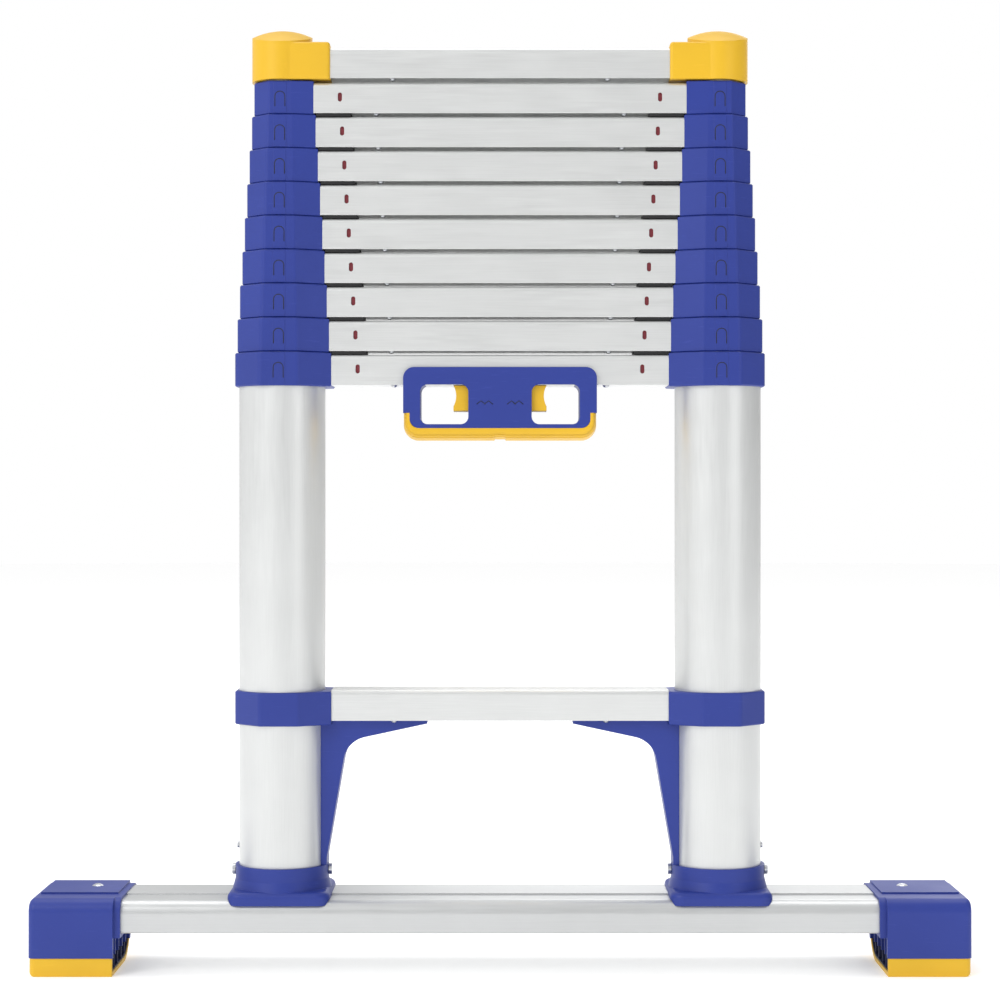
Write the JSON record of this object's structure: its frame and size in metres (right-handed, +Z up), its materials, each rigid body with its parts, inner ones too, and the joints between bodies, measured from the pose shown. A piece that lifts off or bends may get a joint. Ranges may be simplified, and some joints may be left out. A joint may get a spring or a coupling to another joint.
{
  "type": "telescoping ladder",
  "caption": "Closed telescoping ladder with nested aluminium stiles, stacked treads in blue collars, yellow top caps, a carry handle with squeeze releases and a wide stabiliser foot.",
  "frame": {"origin": "bottom centre of the closed ladder, on the floor between its feet", "axes": "+Z up along the stiles, +X to the right along the rungs, the front faces -Y"},
  "size_m": [0.86, 0.11, 0.8733],
  "materials": {
    "tube_aluminium": "satin anodised tube",
    "rung_aluminium": "satin extruded",
    "bar_aluminium": "satin extruded",
    "blue_plastic": "moulded, fine texture",
    "yellow_plastic": "moulded, fine texture",
    "indicator_red": "moulded",
    "fastener_steel": "zinc plated",
    "black_rubber": "moulded"
  },
  "bodies": {
    "base": {"stile_tubes_1": "tube_aluminium", "collars_1": "blue_plastic", "rung_1": "rung_aluminium", "stabiliser_bar": "bar_aluminium", "foot_housings": "blue_plastic", "foot_soles": "yellow_plastic", "base_sockets": "blue_plastic", "step_rung": "rung_aluminium", "step_collars": "blue_plastic", "gussets": "blue_plastic", "handle_frame": "blue_plastic", "handle_grip": "yellow_plastic", "base_fasteners": "fastener_steel"},
    "section_2": {"stile_tubes_2": "tube_aluminium", "collars_2": "blue_plastic", "rung_2": "rung_aluminium"},
    "section_3": {"stile_tubes_3": "tube_aluminium", "collars_3": "blue_plastic", "rung_3": "rung_aluminium"},
    "section_4": {"stile_tubes_4": "tube_aluminium", "collars_4": "blue_plastic", "rung_4": "rung_aluminium"},
    "section_5": {"stile_tubes_5": "tube_aluminium", "collars_5": "blue_plastic", "rung_5": "rung_aluminium"},
    "section_6": {"stile_tubes_6": "tube_aluminium", "collars_6": "blue_plastic", "rung_6": "rung_aluminium"},
    "section_7": {"stile_tubes_7": "tube_aluminium", "collars_7": "blue_plastic", "rung_7": "rung_aluminium"},
    "section_8": {"stile_tubes_8": "tube_aluminium", "collars_8": "blue_plastic", "rung_8": "rung_aluminium"},
    "section_9": {"stile_tubes_9": "tube_aluminium", "collars_9": "blue_plastic", "rung_9": "rung_aluminium"},
    "section_10": {"stile_tubes_10": "tube_aluminium", "top_caps": "yellow_plastic", "rung_10": "rung_aluminium"},
    "trigger_right": {"release_trigger_right": "yellow_plastic", "lock_pin_1_right": "indicator_red"},
    "pin_2_right": {"lock_pin_2_right": "indicator_red"},
    "pin_3_right": {"lock_pin_3_right": "indicator_red"},
    "pin_4_right": {"lock_pin_4_right": "indicator_red"},
    "pin_5_right": {"lock_pin_5_right": "indicator_red"},
    "pin_6_right": {"lock_pin_6_right": "indicator_red"},
    "pin_7_right": {"lock_pin_7_right": "indicator_red"},
    "pin_8_right": {"lock_pin_8_right": "indicator_red"},
    "pin_9_right": {"lock_pin_9_right": "indicator_red"},
    "trigger_left": {"release_trigger_left": "yellow_plastic", "lock_pin_1_left": "indicator_red"},
    "pin_2_left": {"lock_pin_2_left": "indicator_red"},
    "pin_3_left": {"lock_pin_3_left": "indicator_red"},
    "pin_4_left": {"lock_pin_4_left": "indicator_red"},
    "pin_5_left": {"lock_pin_5_left": "indicator_red"},
    "pin_6_left": {"lock_pin_6_left": "indicator_red"},
    "pin_7_left": {"lock_pin_7_left": "indicator_red"},
    "pin_8_left": {"lock_pin_8_left": "indicator_red"},
    "pin_9_left": {"lock_pin_9_left": "indicator_red"}
  },
  "joints": [
    {"name": "section_2_slide", "type": "slide", "parent": "base", "child": "section_2", "axis": [0, 0, 1], "range_m": [0, 0.2789]},
    {"name": "section_3_slide", "type": "slide", "parent": "section_2", "child": "section_3", "axis": [0, 0, 1], "range_m": [0, 0.2789]},
    {"name": "section_4_slide", "type": "slide", "parent": "section_3", "child": "section_4", "axis": [0, 0, 1], "range_m": [0, 0.2789]},
    {"name": "section_5_slide", "type": "slide", "parent": "section_4", "child": "section_5", "axis": [0, 0, 1], "range_m": [0, 0.2789]},
    {"name": "section_6_slide", "type": "slide", "parent": "section_5", "child": "section_6", "axis": [0, 0, 1], "range_m": [0, 0.2789]},
    {"name": "section_7_slide", "type": "slide", "parent": "section_6", "child": "section_7", "axis": [0, 0, 1], "range_m": [0, 0.2789]},
    {"name": "section_8_slide", "type": "slide", "parent": "section_7", "child": "section_8", "axis": [0, 0, 1], "range_m": [0, 0.2789]},
    {"name": "section_9_slide", "type": "slide", "parent": "section_8", "child": "section_9", "axis": [0, 0, 1], "range_m": [0, 0.2789]},
    {"name": "section_10_slide", "type": "slide", "parent": "section_9", "child": "section_10", "axis": [0, 0, 1], "range_m": [0, 0.2789]},
    {"name": "trigger_right_squeeze", "type": "slide", "parent": "base", "child": "trigger_right", "axis": [-1, 0, 0], "range_m": [0, 0.01], "stiffness_N_per_m": 400, "springref_m": -0.008},
    {"name": "pin_2_right_draw", "type": "slide", "parent": "section_2", "child": "pin_2_right", "axis": [-1, 0, 0], "range_m": [0, 0.007], "stiffness_N_per_m": 300, "springref_m": -0.008},
    {"name": "pin_3_right_draw", "type": "slide", "parent": "section_3", "child": "pin_3_right", "axis": [-1, 0, 0], "range_m": [0, 0.007], "stiffness_N_per_m": 300, "springref_m": -0.008},
    {"name": "pin_4_right_draw", "type": "slide", "parent": "section_4", "child": "pin_4_right", "axis": [-1, 0, 0], "range_m": [0, 0.007], "stiffness_N_per_m": 300, "springref_m": -0.008},
    {"name": "pin_5_right_draw", "type": "slide", "parent": "section_5", "child": "pin_5_right", "axis": [-1, 0, 0], "range_m": [0, 0.007], "stiffness_N_per_m": 300, "springref_m": -0.008},
    {"name": "pin_6_right_draw", "type": "slide", "parent": "section_6", "child": "pin_6_right", "axis": [-1, 0, 0], "range_m": [0, 0.007], "stiffness_N_per_m": 300, "springref_m": -0.008},
    {"name": "pin_7_right_draw", "type": "slide", "parent": "section_7", "child": "pin_7_right", "axis": [-1, 0, 0], "range_m": [0, 0.007], "stiffness_N_per_m": 300, "springref_m": -0.008},
    {"name": "pin_8_right_draw", "type": "slide", "parent": "section_8", "child": "pin_8_right", "axis": [-1, 0, 0], "range_m": [0, 0.007], "stiffness_N_per_m": 300, "springref_m": -0.008},
    {"name": "pin_9_right_draw", "type": "slide", "parent": "section_9", "child": "pin_9_right", "axis": [-1, 0, 0], "range_m": [0, 0.007], "stiffness_N_per_m": 300, "springref_m": -0.008},
    {"name": "trigger_left_squeeze", "type": "slide", "parent": "base", "child": "trigger_left", "axis": [1, 0, 0], "range_m": [0, 0.01], "stiffness_N_per_m": 400, "springref_m": -0.008},
    {"name": "pin_2_left_draw", "type": "slide", "parent": "section_2", "child": "pin_2_left", "axis": [1, 0, 0], "range_m": [0, 0.007], "stiffness_N_per_m": 300, "springref_m": -0.008},
    {"name": "pin_3_left_draw", "type": "slide", "parent": "section_3", "child": "pin_3_left", "axis": [1, 0, 0], "range_m": [0, 0.007], "stiffness_N_per_m": 300, "springref_m": -0.008},
    {"name": "pin_4_left_draw", "type": "slide", "parent": "section_4", "child": "pin_4_left", "axis": [1, 0, 0], "range_m": [0, 0.007], "stiffness_N_per_m": 300, "springref_m": -0.008},
    {"name": "pin_5_left_draw", "type": "slide", "parent": "section_5", "child": "pin_5_left", "axis": [1, 0, 0], "range_m": [0, 0.007], "stiffness_N_per_m": 300, "springref_m": -0.008},
    {"name": "pin_6_left_draw", "type": "slide", "parent": "section_6", "child": "pin_6_left", "axis": [1, 0, 0], "range_m": [0, 0.007], "stiffness_N_per_m": 300, "springref_m": -0.008},
    {"name": "pin_7_left_draw", "type": "slide", "parent": "section_7", "child": "pin_7_left", "axis": [1, 0, 0], "range_m": [0, 0.007], "stiffness_N_per_m": 300, "springref_m": -0.008},
    {"name": "pin_8_left_draw", "type": "slide", "parent": "section_8", "child": "pin_8_left", "axis": [1, 0, 0], "range_m": [0, 0.007], "stiffness_N_per_m": 300, "springref_m": -0.008},
    {"name": "pin_9_left_draw", "type": "slide", "parent": "section_9", "child": "pin_9_left", "axis": [1, 0, 0], "range_m": [0, 0.007], "stiffness_N_per_m": 300, "springref_m": -0.008}
  ]
}
